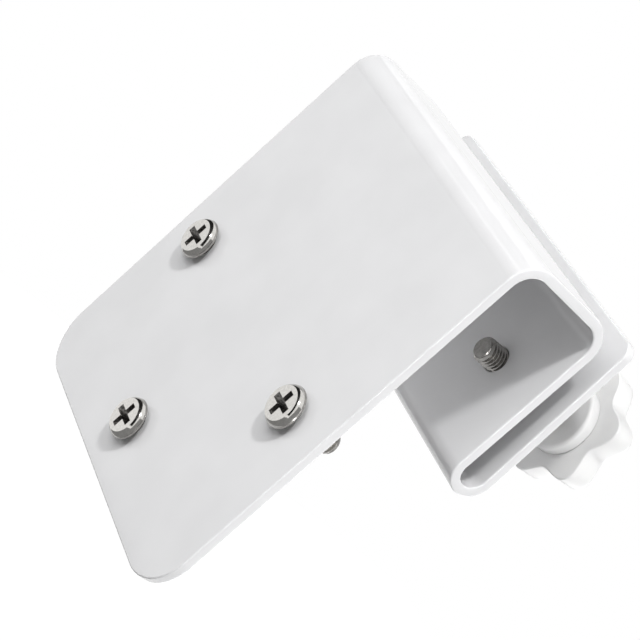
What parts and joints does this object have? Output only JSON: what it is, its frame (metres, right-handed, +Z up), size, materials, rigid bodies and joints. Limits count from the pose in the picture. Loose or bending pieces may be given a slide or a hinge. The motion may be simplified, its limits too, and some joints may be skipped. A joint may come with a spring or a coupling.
{
  "type": "camera gutter mount",
  "caption": "Folded white sheet bracket that hooks over a gutter's edge, with screws standing proud for a camera's keyholes and lobed thumbscrews that clamp.",
  "frame": {"origin": "middle of the roof's underside, the seat on the gutter's edge", "axes": "+Z up as it hangs, X along the folds, -Y out of the camera plate, +Y towards the lip and the knobs"},
  "size_m": [0.08, 0.0565, 0.0904],
  "materials": {
    "powder_coat": "semi-gloss",
    "screw_steel": "bright plated",
    "stud_steel": "plated, threaded",
    "washer_plastic": "moulded",
    "knob_plastic": "moulded"
  },
  "bodies": {
    "bracket": {"bracket": "powder_coat", "camera_screw_left": "screw_steel", "camera_screw_right": "screw_steel", "camera_screw_low": "screw_steel"},
    "left_washer": {"left_washer": "washer_plastic"},
    "left_thumbscrew": {"left_knob": "knob_plastic", "left_stud": "stud_steel"},
    "right_washer": {"right_washer": "washer_plastic"},
    "right_thumbscrew": {"right_knob": "knob_plastic", "right_stud": "stud_steel"}
  },
  "joints": [
    {"name": "left_thumbscrew_travel", "type": "slide", "parent": "bracket", "child": "left_washer", "axis": [0, -0.9995, -0.0332], "range_m": [-0.0043, 0.0107]},
    {"name": "left_thumbscrew_turn", "type": "hinge", "parent": "left_washer", "child": "left_thumbscrew", "pos_m": [-0.0256, 0.0111, -0.0172], "axis": [0, -0.9995, -0.0332], "range_deg": [-1934, 4814]},
    {"name": "right_thumbscrew_travel", "type": "slide", "parent": "bracket", "child": "right_washer", "axis": [0, -0.9995, -0.0332], "range_m": [-0.0043, 0.0107]},
    {"name": "right_thumbscrew_turn", "type": "hinge", "parent": "right_washer", "child": "right_thumbscrew", "pos_m": [0.0256, 0.0111, -0.0172], "axis": [0, -0.9995, -0.0332], "range_deg": [-1934, 4814]}
  ],
  "couplings": [
    {"joint": "left_thumbscrew_travel", "follows": "left_thumbscrew_turn", "m_per_rad": 0.00012732},
    {"joint": "right_thumbscrew_travel", "follows": "right_thumbscrew_turn", "m_per_rad": 0.00012732}
  ]
}
